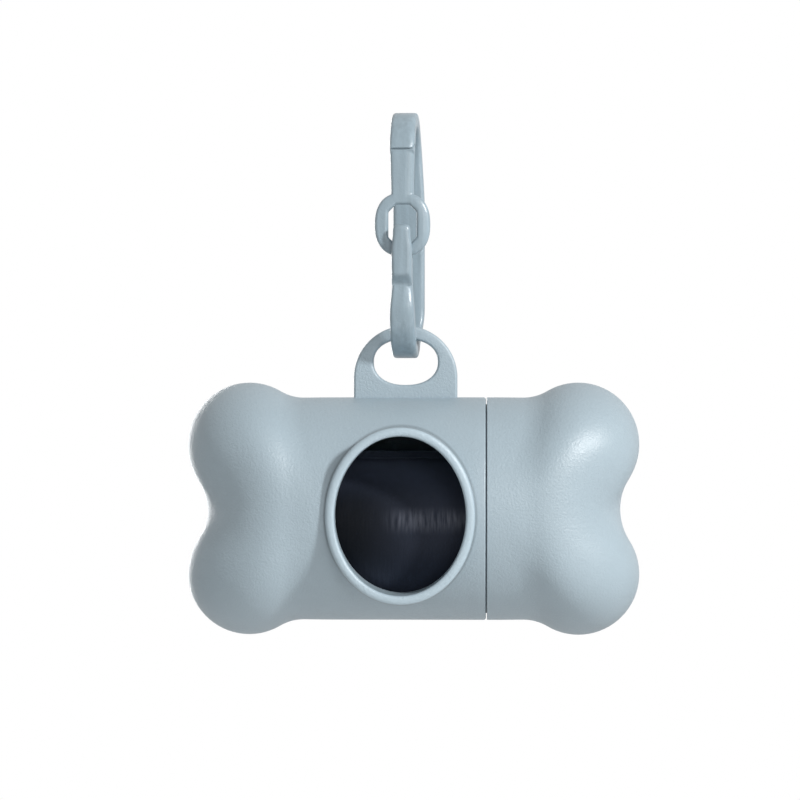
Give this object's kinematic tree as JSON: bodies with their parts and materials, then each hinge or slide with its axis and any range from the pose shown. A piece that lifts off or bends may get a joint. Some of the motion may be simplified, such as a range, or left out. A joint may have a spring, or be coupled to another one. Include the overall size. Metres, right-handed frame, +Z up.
{
  "type": "waste bag dispenser",
  "caption": "Bone-shaped waste bag dispenser: barrel with an oval window and hanging ear, pull-off end cap, bag roll inside and a one-piece snap clip.",
  "frame": {"origin": "centre of the clip's half-round top, where a strap or ring carries the dispenser", "axes": "+X along the bone towards the cap, +Y towards the back, away from the window, +Z up from the bone to the clip"},
  "size_m": [0.0852, 0.0435, 0.0989],
  "materials": {
    "shell": "fine matt mould texture",
    "clip": "satin",
    "bags": "soft film",
    "core": "raw card"
  },
  "bodies": {
    "clip": {"clip_frame": "clip"},
    "gate": {"clip_gate": "clip"},
    "shell": {"main_shell": "shell"},
    "cap": {"end_cap": "shell"},
    "roll": {"bag_roll": "bags", "leading_bag": "bags", "roll_core": "core"}
  },
  "joints": [
    {"name": "shell_swing", "type": "hinge", "parent": "clip", "child": "shell", "pos_m": [0, 0, -0.02755], "axis": [0.9986, -0.0523, 0], "range_deg": [-90, 90]},
    {"name": "gate_flex", "type": "hinge", "parent": "clip", "child": "gate", "pos_m": [-0.00041, -0.00779, 0.00195], "axis": [0.9986, -0.0523, 0], "range_deg": [0, 32], "stiffness_Nm_per_rad": 0.1, "springref_deg": -2.86},
    {"name": "cap_pull", "type": "slide", "parent": "shell", "child": "cap", "axis": [1, 0, 0], "range_m": [0, 0.06]},
    {"name": "roll_spin", "type": "hinge", "parent": "shell", "child": "roll", "pos_m": [0.0015, 0, -0.06919], "axis": [1, 0, 0], "continuous": true}
  ]
}
